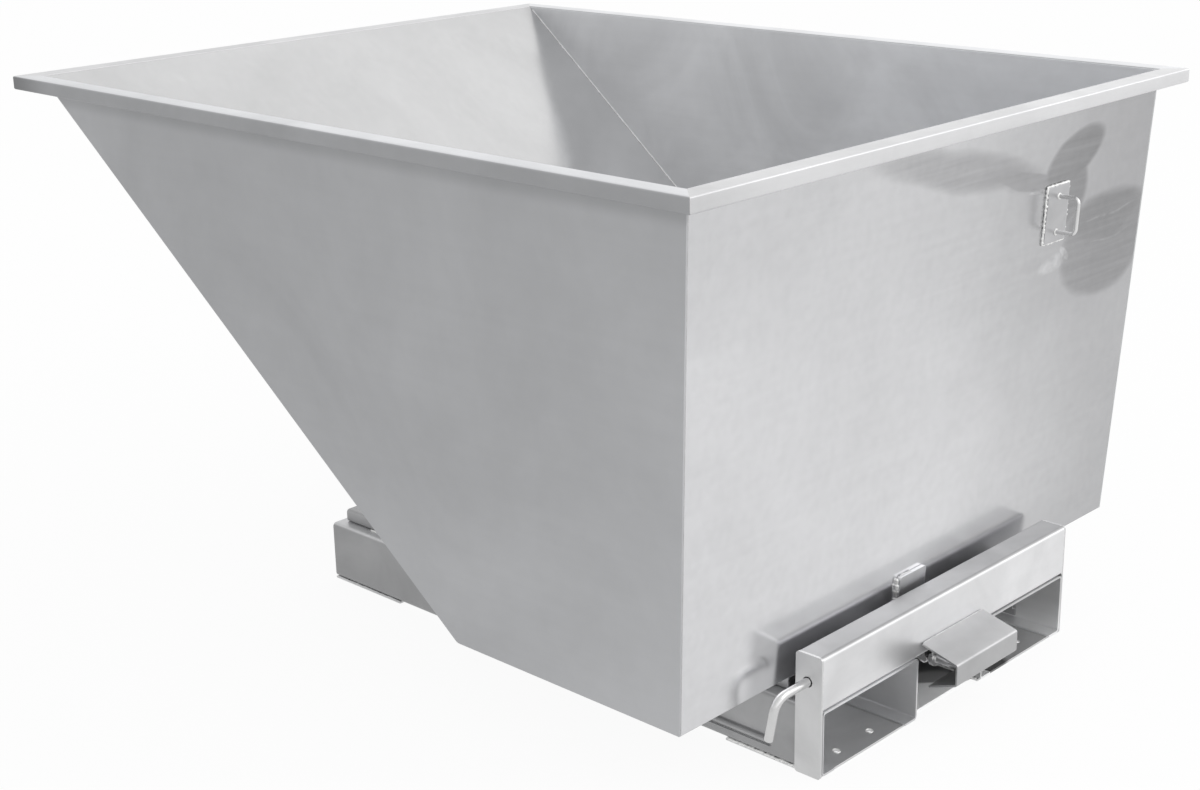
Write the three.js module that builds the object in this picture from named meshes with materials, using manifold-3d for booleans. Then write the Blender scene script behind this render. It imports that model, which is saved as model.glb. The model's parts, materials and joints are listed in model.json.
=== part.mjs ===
// Self-tipping fork skip: a tapered stainless bin on curved rockers, rolling on a fork-pocket base.
// Millimetres, +Z up, +Y towards the pouring lip. Origin on the ground, in the middle of the width and length.
// The dimensions below count y from the fork entry plane; each finished piece is then moved by MIDDLE_Y.
import * as THREE from 'three';
import { mergeVertices } from 'three/addons/utils/BufferGeometryUtils.js';
import Module from 'manifold-3d';

const wasm = await Module();
wasm.setup();

// Sheet thickness, and the gap between neighbours that are welded or run on each other
const SHEET = 3;
const GAP = 0.3;

// Longer than the skip, for sections that are trimmed afterwards, and how far trims overshoot
const LONG = 2000;
const OVERSHOOT = 1;

// Facets: per bend of a folded sheet, around a round bar, along a bent bar, along a rocker
const BEND_STEPS = 6;
const ROUND_STEPS = 36;
const BAR_STEPS = 60;
const ROCKER_STEPS = 50;

// Fork pockets, folded C sections open at the bottom
const POCKET_IN = 76;
const POCKET_OUT = 283;
const POCKET_LENGTH = 960;
const POCKET_TOP = 93;
const POCKET_LIP = 26;
const FOLD_RADIUS = 4.5;

// Recess in the outer side of each pocket
const WINDOW = { y0: 82, y1: 640, z0: 17, z1: 86, radius: 3 };
const PANEL = { foot: 10, sill: 22.5, depth: 8.7, overlap: 12, headroom: 2.4, radius: 4.2 };

// Plates that tie the two pockets together underneath
const TIE = { depth: 153, setback: 4, notch: 15, hole: 4.5, holeY: 28, holeSpread: 36 };

// Track rails on top of the pockets, C sections open towards the middle
const RAIL = { in: 214, out: 264, y0: 70, y1: 948, height: 20, radius: 3.5 };
const RAIL_STOP = { length: 5, clearance: 1 };

// Crossbar over the fork entry
const BAR = { depth: 41, height: 75, radius: 6 };
const END_PLATE = { thickness: 3.2, radius: 5, bore: 7.3 };
const ARM_SLOT = { x0: -52, x1: -20, y0: 4.5, y1: 33 };

// Release shaft, its lever, and the sliding latch bolt
const SHAFT = { y: 22, z: 130.5, radius: 6, sides: 20, inner: 2, outer: -349, bend: 22, tip: 71, lean: 11 };
const BEARING = { thickness: 5, clearance: 0.1, stations: [-270, -64, -13] };
const BOLT = { x: -36, z: 79.5, radius: 7, tail: -36, tip: 51, tailChamfer: 1, tipChamfer: 2 };
const COLLAR = { radius: 12, rear: 6, front: 4 };
const FORK = { hub: 12, prong: 4.5, pad: 4.5, neck: 2.2, spread: 9.5, padY: 9.5, clearance: 0.8 };
const GUIDE = { y0: 35.6, y1: 48.6, z0: 66, clearance: 0.1 };
const WASHER = { radius: 11, thickness: 2 };
const PIN = { radius: 1.5, length: 22, x: -3 };

// Hood over the bolt's tail
const HOOD = { half: 72, reach: 56, top: 111.5, brow: 97.3, chin: 69, heel: 54, heelY: -14, radius: 3 };

// Bin
const BIN = { floor: 122, top: 790.7, rearFoot: 57.6, rearTop: 22, halfFoot: 487.5, halfTop: 509.7 };
const SLOPE = { foot: 446.5, top: 1296.7, bend: 12 };

// Rim of rectangular tube around the bin's mouth
const RIM = { half: 540, rear: -8.3, front: 1327, width: 30, z0: 772, z1: 792 };
const RIM_WALL = { thickness: 2, outerRadius: 2.5, innerRadius: 1 };

// Rockers under the slope, and the keeper that holds them down on the rails
const ROCKER = { radius: 380, thickness: 8, in: 218, out: 262, rear: 75, end: 75.5, web: 6, webEnd: 36 };
const BRACE = { drop: 43, thickness: 6 };
const KEEPER = { half: 260.4, y0: 454, y1: 474, z0: 96.9, z1: 109.7 };
const CLAW = { x0: 205, x1: 213.4, tip: 231, y0: 456, y1: 472, z0: 110, z1: 122.9, z2: 126.9 };

// Fittings on the bin's rear wall
const CATCH = { x0: -54, x1: 6, z0: 66, z1: 186, thickness: 6, radius: 4, bore: 9 };
const PAD = { x0: 232, x1: 285, z0: 587, z1: 666, thickness: 4, radius: 3 };
const HANDLE = { x: 259, z0: 601, z1: 651, reach: 34, radius: 3, sides: 16, bend: 9 };

// Values that follow from the ones above
const MIDDLE_Y = (RIM.front - HOOD.reach - SHEET / 2) / 2;
const BAR_Z0 = POCKET_TOP + GAP;
const BAR_Z1 = BAR_Z0 + BAR.height;
const RAIL_Z0 = POCKET_TOP + GAP;
const RAIL_Z1 = RAIL_Z0 + RAIL.height;
const SLOPE_ANGLE = Math.atan2(BIN.top - BIN.floor, SLOPE.top - SLOPE.foot);
const SIDE_LEAN = (BIN.halfTop - BIN.halfFoot) / (BIN.top - BIN.floor);
const REAR_LEAN = (BIN.rearFoot - BIN.rearTop) / (BIN.top - BIN.floor);
const ROCKER_Y = SLOPE.foot;
const ROCKER_Z = RAIL_Z1 + GAP + ROCKER.radius;
const SLOPE_REACH = (ROCKER_Z - BIN.floor) * Math.cos(SLOPE_ANGLE);

function rad(degrees) {
  return degrees * Math.PI / 180;
}

function shapeOf(points) {
  return new THREE.Shape(points.map(([u, v]) => new THREE.Vector2(u, v)));
}

// Rectangle with rounded corners, as a shape
function roundedRect(u0, v0, u1, v1, radius) {
  const shape = new THREE.Shape();
  shape.moveTo(u0 + radius, v0);
  shape.lineTo(u1 - radius, v0);
  shape.absarc(u1 - radius, v0 + radius, radius, -Math.PI / 2, 0);
  shape.lineTo(u1, v1 - radius);
  shape.absarc(u1 - radius, v1 - radius, radius, 0, Math.PI / 2);
  shape.lineTo(u0 + radius, v1);
  shape.absarc(u0 + radius, v1 - radius, radius, Math.PI / 2, Math.PI);
  shape.lineTo(u0, v0 + radius);
  shape.absarc(u0 + radius, v0 + radius, radius, Math.PI, 1.5 * Math.PI);
  return shape;
}

function circlePath(u, v, radius) {
  const path = new THREE.Path();
  path.absarc(u, v, radius, 0, 2 * Math.PI, true);
  return path;
}

// Section of a folded sheet whose middle line runs through the points, each bend rounded
function foldedStrip(points, thickness, radius) {
  const p = points.map(([u, v]) => new THREE.Vector2(u, v));
  const left = [];
  const right = [];
  const put = (centre, normal) => {
    left.push(centre.clone().addScaledVector(normal, thickness / 2));
    right.push(centre.clone().addScaledVector(normal, -thickness / 2));
  };
  const normalOf = (d) => new THREE.Vector2(-d.y, d.x);
  const last = p.length - 1;
  put(p[0], normalOf(p[1].clone().sub(p[0]).normalize()));
  for (let i = 1; i < last; i += 1) {
    const before = p[i].clone().sub(p[i - 1]).normalize();
    const after = p[i + 1].clone().sub(p[i]).normalize();
    const turn = Math.atan2(before.cross(after), before.dot(after));
    const start = p[i].clone().addScaledVector(before, -radius * Math.tan(Math.abs(turn) / 2));
    const centre = start.clone().addScaledVector(normalOf(before), Math.sign(turn) * radius);
    for (let k = 0; k <= BEND_STEPS; k += 1) {
      const normal = normalOf(before).rotateAround(new THREE.Vector2(), turn * k / BEND_STEPS);
      put(centre.clone().addScaledVector(normal, -Math.sign(turn) * radius), normal);
    }
  }
  put(p[last], normalOf(p[last].clone().sub(p[last - 1]).normalize()));
  return new THREE.Shape(left.concat(right.reverse()));
}

// Extrusions along the three axes; the shape's own axes become the other two in order
function alongX(shape, x0, x1, curveSegments = BEND_STEPS) {
  const options = { depth: x1 - x0, bevelEnabled: false, curveSegments };
  const geometry = new THREE.ExtrudeGeometry(shape, options);
  const axes = [new THREE.Vector3(0, 1, 0), new THREE.Vector3(0, 0, 1), new THREE.Vector3(1, 0, 0)];
  geometry.applyMatrix4(new THREE.Matrix4().makeBasis(...axes));
  return geometry.translate(x0, 0, 0);
}

function alongY(shape, y0, y1, curveSegments = BEND_STEPS) {
  const options = { depth: y1 - y0, bevelEnabled: false, curveSegments };
  return new THREE.ExtrudeGeometry(shape, options).rotateX(Math.PI / 2).translate(0, y1, 0);
}

function alongZ(shape, z0, z1, curveSegments = BEND_STEPS) {
  const options = { depth: z1 - z0, bevelEnabled: false, curveSegments };
  return new THREE.ExtrudeGeometry(shape, options).translate(0, 0, z0);
}

function box(x0, x1, y0, y1, z0, z1) {
  const geometry = new THREE.BoxGeometry(x1 - x0, y1 - y0, z1 - z0);
  return geometry.translate((x0 + x1) / 2, (y0 + y1) / 2, (z0 + z1) / 2);
}

function rodAlongX(x0, x1, y, z, radius) {
  const rod = new THREE.CylinderGeometry(radius, radius, x1 - x0, ROUND_STEPS);
  return rod.rotateZ(Math.PI / 2).translate((x0 + x1) / 2, y, z);
}

function rodAlongY(x, y0, y1, z, radius) {
  const rod = new THREE.CylinderGeometry(radius, radius, y1 - y0, ROUND_STEPS);
  return rod.translate(x, (y0 + y1) / 2, z);
}

// Round bar along a path of straights and bends
function bentBar(corners, bend, radius, sides) {
  const path = new THREE.CurvePath();
  let from = corners[0];
  for (let i = 1; i < corners.length - 1; i += 1) {
    const before = corners[i].clone().sub(corners[i - 1]).normalize();
    const after = corners[i + 1].clone().sub(corners[i]).normalize();
    const start = corners[i].clone().addScaledVector(before, -bend);
    const end = corners[i].clone().addScaledVector(after, bend);
    path.add(new THREE.LineCurve3(from, start));
    path.add(new THREE.QuadraticBezierCurve3(start, corners[i], end));
    from = end;
  }
  path.add(new THREE.LineCurve3(from, corners[corners.length - 1]));
  const section = new THREE.Shape();
  section.absarc(0, 0, radius, 0, 2 * Math.PI);
  const options = { steps: BAR_STEPS, extrudePath: path, curveSegments: sides / 2 };
  return new THREE.ExtrudeGeometry(section, options);
}

// Leans a piece of the rear wall: y grows downwards from the top edge
function leanRear(geometry) {
  const matrix = new THREE.Matrix4().makeShear(0, 0, 0, 0, 0, -REAR_LEAN);
  return geometry.applyMatrix4(matrix).translate(0, BIN.top * REAR_LEAN, 0);
}

function solidOf(geometry) {
  const bare = geometry.clone();
  bare.deleteAttribute('normal');
  bare.deleteAttribute('uv');
  const merged = mergeVertices(bare, 1e-4);
  const vertProperties = new Float32Array(merged.attributes.position.array);
  const triVerts = new Uint32Array(merged.index.array);
  return new wasm.Manifold(new wasm.Mesh({ numProp: 3, vertProperties, triVerts }));
}

function geometryOf(solid) {
  const { vertProperties, triVerts } = solid.getMesh();
  const geometry = new THREE.BufferGeometry();
  geometry.setAttribute('position', new THREE.BufferAttribute(new Float32Array(vertProperties), 3));
  geometry.setIndex(new THREE.BufferAttribute(new Uint32Array(triVerts), 1));
  geometry.computeVertexNormals();
  return geometry;
}

function cut(geometry, ...tools) {
  return geometryOf(tools.reduce((solid, tool) => solid.subtract(solidOf(tool)), solidOf(geometry)));
}

function join(geometry, ...others) {
  return geometryOf(others.reduce((solid, other) => solid.add(solidOf(other)), solidOf(geometry)));
}

function keep(geometry, limit) {
  return geometryOf(solidOf(geometry).intersect(solidOf(limit)));
}

// The same piece on the other side of the middle plane
function mirrored(geometry) {
  return geometryOf(solidOf(geometry).mirror([1, 0, 0]));
}

const skip = new THREE.Group();
skip.name = 'tipping_skip';

const FINISH = {
  sheet: { color: 0xb9bbbd, roughness: 0.42, metalness: 1 },
  tube: { color: 0xc6c8ca, roughness: 0.34, metalness: 1 },
  bar: { color: 0xcfd1d2, roughness: 0.26, metalness: 1 },
};

function addPiece(name, geometry, finish) {
  const placed = geometry.clone().translate(0, -MIDDLE_Y, 0);
  const piece = new THREE.Mesh(placed, new THREE.MeshStandardMaterial(FINISH[finish]));
  piece.name = name;
  skip.add(piece);
}

function addPair(name, geometry, finish) {
  addPiece(`${name}_right`, geometry, finish);
  addPiece(`${name}_left`, mirrored(geometry), finish);
}

// ---- Base ----

function forkPocket() {
  const low = SHEET + GAP + SHEET / 2;
  const high = POCKET_TOP - SHEET / 2;
  const inner = POCKET_IN + SHEET / 2;
  const outer = POCKET_OUT - SHEET / 2;
  const line = [
    [POCKET_IN + POCKET_LIP, low],
    [inner, low],
    [inner, high],
    [outer, high],
    [outer, low],
    [POCKET_OUT - POCKET_LIP, low],
  ];
  const channel = alongY(foldedStrip(line, SHEET, FOLD_RADIUS), 0, POCKET_LENGTH);
  const { y0, y1, z0, z1, radius } = WINDOW;
  const opening = alongX(roundedRect(y0, z0, y1, z1, radius), outer - SHEET, outer + SHEET);
  return cut(channel, opening);
}

function recessPanel() {
  const foot = POCKET_OUT - SHEET - GAP - SHEET / 2;
  const back = foot - PANEL.depth;
  const line = [
    [foot, PANEL.foot],
    [foot, PANEL.sill],
    [back, PANEL.sill],
    [back, POCKET_TOP - SHEET - PANEL.headroom],
  ];
  const section = foldedStrip(line, SHEET, PANEL.radius);
  return alongY(section, WINDOW.y0 - PANEL.overlap, WINDOW.y1 + PANEL.overlap);
}

function rearTiePlate() {
  const front = TIE.setback + TIE.depth;
  const plan = shapeOf([
    [-POCKET_OUT, TIE.setback],
    [-POCKET_IN, TIE.setback],
    [-POCKET_IN, TIE.notch],
    [POCKET_IN, TIE.notch],
    [POCKET_IN, TIE.setback],
    [POCKET_OUT, TIE.setback],
    [POCKET_OUT, front],
    [-POCKET_OUT, front],
  ]);
  const middle = (POCKET_IN + POCKET_OUT) / 2;
  for (const side of [-middle, middle]) {
    for (const step of [-TIE.holeSpread, TIE.holeSpread]) {
      plan.holes.push(circlePath(side + step, TIE.holeY, TIE.hole));
    }
  }
  return alongZ(plan, 0, SHEET);
}

function frontTiePlate() {
  return box(-POCKET_OUT, POCKET_OUT, POCKET_LENGTH - TIE.depth, POCKET_LENGTH, 0, SHEET);
}

function trackRail() {
  const web = RAIL.out - SHEET / 2;
  const line = [
    [RAIL.in, RAIL_Z0 + SHEET / 2],
    [web, RAIL_Z0 + SHEET / 2],
    [web, RAIL_Z1 - SHEET / 2],
    [RAIL.in, RAIL_Z1 - SHEET / 2],
  ];
  return alongY(foldedStrip(line, SHEET, RAIL.radius), RAIL.y0, RAIL.y1);
}

function railStop() {
  const low = RAIL_Z0 + SHEET + GAP;
  const high = RAIL_Z1 - SHEET - GAP;
  const outer = RAIL.out - SHEET - RAIL_STOP.clearance;
  return box(RAIL.in, outer, RAIL.y1 - RAIL_STOP.length, RAIL.y1, low, high);
}

function crossbar() {
  const section = roundedRect(0, BAR_Z0, BAR.depth, BAR_Z1, BAR.radius);
  const inside = [SHEET, BAR_Z0 + SHEET, BAR.depth - SHEET, BAR_Z1 - SHEET];
  section.holes.push(roundedRect(...inside, BAR.radius - SHEET));
  const tube = alongX(section, -POCKET_OUT, POCKET_OUT);
  const { x0, x1, y0, y1 } = ARM_SLOT;
  return cut(tube, box(x0, x1, y0, y1, BAR_Z0 - SHEET, BAR_Z0 + 2 * SHEET));
}

function endPlate(hasBore) {
  const outline = roundedRect(0, 0, BAR.depth, BAR_Z1, END_PLATE.radius);
  if (hasBore) {
    outline.holes.push(circlePath(SHAFT.y, SHAFT.z, END_PLATE.bore));
  }
  const inner = POCKET_OUT + GAP;
  return alongX(outline, inner, inner + END_PLATE.thickness);
}

function latchHood() {
  const line = [
    [-GAP - SHEET / 2, HOOD.top],
    [-HOOD.reach, HOOD.brow],
    [-HOOD.reach, HOOD.chin],
    [HOOD.heelY, HOOD.heel],
  ];
  return alongX(foldedStrip(line, SHEET, HOOD.radius), -HOOD.half, HOOD.half);
}

function bearingPlate(x) {
  const inset = SHEET + GAP;
  const section = roundedRect(inset, BAR_Z0 + inset, BAR.depth - inset, BAR_Z1 - inset, SHEET);
  section.holes.push(circlePath(SHAFT.y, SHAFT.z, SHAFT.radius + BEARING.clearance));
  return alongX(section, x, x + BEARING.thickness, ROUND_STEPS / 2);
}

function boltGuide() {
  const block = box(ARM_SLOT.x0, ARM_SLOT.x1, GUIDE.y0, GUIDE.y1, GUIDE.z0, POCKET_TOP);
  const bore = rodAlongY(BOLT.x, 0, LONG, BOLT.z, BOLT.radius + GUIDE.clearance);
  return cut(block, bore);
}

addPair('fork_pocket', forkPocket(), 'sheet');
addPair('recess_panel', recessPanel(), 'sheet');
addPiece('rear_tie_plate', rearTiePlate(), 'sheet');
addPiece('front_tie_plate', frontTiePlate(), 'sheet');
addPair('track_rail', trackRail(), 'sheet');
addPair('rail_stop', railStop(), 'bar');
addPiece('crossbar', crossbar(), 'tube');
addPiece('end_plate_right', endPlate(false), 'sheet');
addPiece('end_plate_left', mirrored(endPlate(true)), 'sheet');
addPiece('latch_hood', latchHood(), 'sheet');
BEARING.stations.forEach((x, i) => addPiece(`shaft_bearing_${i + 1}`, bearingPlate(x), 'bar'));
addPiece('bolt_guide', boltGuide(), 'bar');

// ---- Release shaft and latch bolt ----

function releaseShaft() {
  const corners = [
    new THREE.Vector3(SHAFT.inner, SHAFT.y, SHAFT.z),
    new THREE.Vector3(SHAFT.outer, SHAFT.y, SHAFT.z),
    new THREE.Vector3(SHAFT.outer, SHAFT.y + SHAFT.lean, SHAFT.tip),
  ];
  const bar = bentBar(corners, SHAFT.bend, SHAFT.radius, SHAFT.sides);
  const half = PIN.length / 2;
  const hole = rodAlongY(PIN.x, SHAFT.y - half, SHAFT.y + half, SHAFT.z, PIN.radius + GAP);
  return cut(bar, hole);
}

function shiftFork() {
  const { hub, prong, pad, neck, spread, padY } = FORK;
  const outer = spread + prong;
  const body = rodAlongX(BOLT.x - outer, BOLT.x + outer, SHAFT.y, SHAFT.z, hub);
  const reach = new THREE.Vector2(padY - SHAFT.y, BOLT.z - SHAFT.z);
  const across = new THREE.Vector2(-reach.y, reach.x).normalize();
  const blade = shapeOf([
    [SHAFT.y + pad * across.x, SHAFT.z + pad * across.y],
    [SHAFT.y - pad * across.x, SHAFT.z - pad * across.y],
    [padY - neck * across.x, BOLT.z - neck * across.y],
    [padY + neck * across.x, BOLT.z + neck * across.y],
  ]);
  const prongs = [];
  for (const x of [BOLT.x - outer, BOLT.x + spread]) {
    prongs.push(alongX(blade, x, x + prong));
    prongs.push(rodAlongX(x, x + prong, padY, BOLT.z, pad));
  }
  const bore = rodAlongX(-LONG, LONG, SHAFT.y, SHAFT.z, SHAFT.radius + GAP);
  return cut(join(body, ...prongs), bore);
}

function shaftWasher() {
  const start = BEARING.stations[2] + BEARING.thickness + GAP;
  const ring = new THREE.Shape();
  ring.absarc(SHAFT.y, SHAFT.z, WASHER.radius, 0, 2 * Math.PI);
  ring.holes.push(circlePath(SHAFT.y, SHAFT.z, SHAFT.radius + GAP));
  return alongX(ring, start, start + WASHER.thickness, ROUND_STEPS / 2);
}

function splitPin() {
  const half = PIN.length / 2;
  const pin = new THREE.CylinderGeometry(PIN.radius, PIN.radius, 2 * half, ROUND_STEPS / 3);
  return pin.translate(PIN.x, SHAFT.y, SHAFT.z);
}

function latchBolt() {
  const { x, z, radius, tail, tip, tailChamfer, tipChamfer } = BOLT;
  const outline = [
    [0, tail],
    [radius - tailChamfer, tail],
    [radius, tail + tailChamfer],
    [radius, tip - tipChamfer],
    [radius - tipChamfer, tip],
    [0, tip],
  ];
  const points = outline.map(([r, y]) => new THREE.Vector2(r, y));
  return new THREE.LatheGeometry(points, ROUND_STEPS).translate(x, 0, z);
}

function boltCollar(y0, y1) {
  const ring = new THREE.Shape();
  ring.absarc(BOLT.x, BOLT.z, COLLAR.radius, 0, 2 * Math.PI);
  ring.holes.push(circlePath(BOLT.x, BOLT.z, BOLT.radius + GAP));
  return alongY(ring, y0, y1, ROUND_STEPS / 2);
}

const REAR_COLLAR_END = FORK.padY - FORK.pad - FORK.clearance;
const FRONT_COLLAR_START = FORK.padY + FORK.pad + FORK.clearance;
addPiece('release_shaft', releaseShaft(), 'bar');
addPiece('shift_fork', shiftFork(), 'bar');
addPiece('shaft_washer', shaftWasher(), 'bar');
addPiece('split_pin', splitPin(), 'bar');
addPiece('latch_bolt', latchBolt(), 'bar');
addPiece('bolt_collar_rear', boltCollar(REAR_COLLAR_END - COLLAR.rear, REAR_COLLAR_END), 'bar');
addPiece('bolt_collar_front', boltCollar(FRONT_COLLAR_START, FRONT_COLLAR_START + COLLAR.front), 'bar');

// ---- Keeper ----

function keeperBar() {
  return box(-KEEPER.half, KEEPER.half, KEEPER.y0, KEEPER.y1, KEEPER.z0, KEEPER.z1);
}

function keeperClaw() {
  const { x0, x1, tip, y0, y1, z0, z1, z2 } = CLAW;
  const section = shapeOf([[x0, z0], [x1, z0], [x1, z1], [tip, z1], [tip, z2], [x0, z2]]);
  return alongY(section, y0, y1);
}

addPiece('keeper_bar', keeperBar(), 'bar');
addPair('keeper_claw', keeperClaw(), 'bar');

// ---- Bin ----

// Space between the two leaning side walls
function betweenSides() {
  const clear = SHEET + GAP;
  const section = shapeOf([
    [-BIN.halfFoot + clear, BIN.floor],
    [BIN.halfFoot - clear, BIN.floor],
    [BIN.halfTop - clear, BIN.top],
    [-BIN.halfTop + clear, BIN.top],
  ]);
  return alongY(section, -LONG / 2, LONG);
}

// Middle line of the floor and slope sheet: the bend, then a point past the rim
function slopeCorner() {
  const lift = SHEET / 2;
  return SLOPE.foot + (lift - lift / Math.cos(SLOPE_ANGLE)) / Math.tan(SLOPE_ANGLE);
}

function bottomSheet() {
  const z = BIN.floor + SHEET / 2;
  const y = slopeCorner();
  const line = [
    [BIN.rearFoot + SHEET + GAP, z],
    [y, z],
    [y + LONG * Math.cos(SLOPE_ANGLE), z + LONG * Math.sin(SLOPE_ANGLE)],
  ];
  return keep(alongX(foldedStrip(line, SHEET, SLOPE.bend), -LONG / 2, LONG / 2), betweenSides());
}

function rearWall() {
  const section = shapeOf([
    [BIN.rearFoot, BIN.floor],
    [BIN.rearFoot + SHEET, BIN.floor],
    [BIN.rearTop + SHEET, BIN.top],
    [BIN.rearTop, BIN.top],
  ]);
  return keep(alongX(section, -LONG / 2, LONG / 2), betweenSides());
}

function sideWall() {
  const outer = SLOPE.bend + SHEET / 2;
  const start = SLOPE.foot - outer * Math.tan(SLOPE_ANGLE / 2);
  const outline = new THREE.Shape();
  outline.moveTo(BIN.rearFoot, BIN.floor);
  outline.lineTo(start, BIN.floor);
  outline.absarc(start, BIN.floor + outer, outer, -Math.PI / 2, SLOPE_ANGLE - Math.PI / 2);
  outline.lineTo(SLOPE.top, BIN.top);
  outline.lineTo(BIN.rearTop, BIN.top);
  const lean = new THREE.Matrix4().makeShear(0, 0, 0, 0, SIDE_LEAN, 0);
  const wall = alongX(outline, BIN.halfFoot - SHEET, BIN.halfFoot).applyMatrix4(lean);
  return wall.translate(-BIN.floor * SIDE_LEAN, 0, 0);
}

function rimSection(u0, u1) {
  const { z0, z1 } = RIM;
  const { thickness, outerRadius, innerRadius } = RIM_WALL;
  const section = roundedRect(u0, z0, u1, z1, outerRadius);
  const inside = [u0 + thickness, z0 + thickness, u1 - thickness, z1 - thickness];
  section.holes.push(roundedRect(...inside, innerRadius));
  return section;
}

// Trims a length of rim tube to its mitred plan: outer edge, then inner edge
function mitred(tube, outer, inner) {
  const plan = shapeOf([...outer, ...inner]);
  return keep(tube, alongZ(plan, RIM.z0 - OVERSHOOT, RIM.z1 + OVERSHOOT));
}

function rimSide() {
  const { half, rear, front, width } = RIM;
  const tube = alongY(rimSection(half - width, half), rear, front);
  const outer = [[half, rear + GAP], [half, front - GAP]];
  const inner = [[half - width, front - width - GAP], [half - width, rear + width + GAP]];
  return mitred(tube, outer, inner);
}

function rimEnd(y, inwards) {
  const { half, width } = RIM;
  const low = Math.min(y, y + inwards * width);
  const tube = alongX(rimSection(low, low + width), -half, half);
  const outer = [[-half, y], [half, y]];
  const inner = [[half - width, y + inwards * width], [-half + width, y + inwards * width]];
  return mitred(tube, outer, inner);
}

function catchPlate() {
  const { x0, x1, z0, z1, thickness, radius, bore } = CATCH;
  const outline = roundedRect(x0, z0, x1, z1, radius);
  outline.holes.push(circlePath(BOLT.x, BOLT.z, bore));
  return leanRear(alongY(outline, BIN.rearTop - GAP - thickness, BIN.rearTop - GAP));
}

function handlePad() {
  const { x0, x1, z0, z1, thickness, radius } = PAD;
  const outline = roundedRect(x0, z0, x1, z1, radius);
  return leanRear(alongY(outline, BIN.rearTop - GAP - thickness, BIN.rearTop - GAP));
}

function handleBar() {
  const { x, z0, z1, reach, radius, sides, bend } = HANDLE;
  const foot = BIN.rearTop - PAD.thickness - 2 * GAP;
  const far = BIN.rearTop - reach;
  const corners = [
    new THREE.Vector3(x, foot, z0),
    new THREE.Vector3(x, far, z0),
    new THREE.Vector3(x, far, z1),
    new THREE.Vector3(x, foot, z1),
  ];
  return leanRear(bentBar(corners, bend, radius, sides));
}

// Point on or inside the rocker's circle, by its angle forward of straight down
function rockerPoint(radius, degrees) {
  const a = rad(degrees);
  return [ROCKER_Y + radius * Math.sin(a), ROCKER_Z - radius * Math.cos(a)];
}

function rockerTread() {
  const { radius, thickness, rear, end } = ROCKER;
  const points = [[rear, ROCKER_Z - radius]];
  for (let k = 0; k <= ROCKER_STEPS; k += 1) {
    points.push(rockerPoint(radius, end * k / ROCKER_STEPS));
  }
  for (let k = ROCKER_STEPS; k >= 0; k -= 1) {
    points.push(rockerPoint(radius - thickness, end * k / ROCKER_STEPS));
  }
  points.push([rear, ROCKER_Z - radius + thickness]);
  return alongX(shapeOf(points), ROCKER.in, ROCKER.out);
}

function rockerWeb() {
  const middle = SLOPE_ANGLE * 180 / Math.PI;
  const edge = ROCKER.radius - ROCKER.thickness - GAP;
  const chord = SLOPE_REACH + GAP;
  const points = [];
  for (let k = 0; k <= ROCKER_STEPS; k += 1) {
    points.push(rockerPoint(edge, middle + ROCKER.webEnd * (2 * k / ROCKER_STEPS - 1)));
  }
  for (const side of [1, -1]) {
    const a = side * ROCKER.webEnd;
    points.push(rockerPoint(chord / Math.cos(rad(a)), middle + a));
  }
  return alongX(shapeOf(points), ROCKER.out - ROCKER.web, ROCKER.out);
}

function rockerBrace() {
  const half = BRACE.thickness / 2;
  const near = SLOPE_REACH + 2 * GAP;
  const section = shapeOf([
    [near, -half],
    [near + BRACE.drop, -half],
    [near + BRACE.drop, half],
    [near, half],
  ]);
  const reach = ROCKER.out - ROCKER.web - GAP;
  const flat = alongX(section, -reach, reach).rotateX(SLOPE_ANGLE - Math.PI / 2);
  return flat.translate(0, ROCKER_Y, ROCKER_Z);
}

addPair('side_wall', sideWall(), 'sheet');
addPiece('rear_wall', rearWall(), 'sheet');
addPiece('bottom_sheet', bottomSheet(), 'sheet');
addPair('rim_side', rimSide(), 'tube');
addPiece('rim_rear', rimEnd(RIM.rear, 1), 'tube');
addPiece('rim_front', rimEnd(RIM.front, -1), 'tube');
addPair('rocker_tread', rockerTread(), 'bar');
addPair('rocker_web', rockerWeb(), 'sheet');
addPiece('rocker_brace', rockerBrace(), 'sheet');
addPiece('catch_plate', catchPlate(), 'sheet');
addPiece('handle_pad', handlePad(), 'sheet');
addPiece('handle_bar', handleBar(), 'bar');

export default skip;
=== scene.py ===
"""Looks for the self-tipping fork skip: mill-finish stainless, ground tube, weld beads, plain studio."""

import json
import math
import random

import bpy
from mathutils import Matrix, Vector


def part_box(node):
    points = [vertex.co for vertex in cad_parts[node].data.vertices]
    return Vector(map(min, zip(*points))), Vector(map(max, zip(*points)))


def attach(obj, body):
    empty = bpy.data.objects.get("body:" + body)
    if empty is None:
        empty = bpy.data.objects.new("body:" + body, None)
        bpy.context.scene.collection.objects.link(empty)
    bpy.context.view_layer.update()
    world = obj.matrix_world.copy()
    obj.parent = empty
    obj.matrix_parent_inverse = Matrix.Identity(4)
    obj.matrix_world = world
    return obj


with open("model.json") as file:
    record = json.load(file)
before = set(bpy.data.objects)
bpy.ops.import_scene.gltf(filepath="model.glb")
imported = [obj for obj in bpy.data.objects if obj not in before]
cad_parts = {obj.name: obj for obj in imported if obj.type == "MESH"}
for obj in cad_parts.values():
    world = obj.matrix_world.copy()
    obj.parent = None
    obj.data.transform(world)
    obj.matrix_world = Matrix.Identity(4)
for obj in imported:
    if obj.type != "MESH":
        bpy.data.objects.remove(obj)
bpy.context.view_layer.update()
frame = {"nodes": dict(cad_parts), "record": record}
NODES = frame["nodes"]
SLOT_OF = {s["node"]: s["material_slot"] for s in frame["record"]["subparts"]}
MM = 0.001
AXES = {"x": 0, "y": 1, "z": 2}
random.seed(7)

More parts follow.
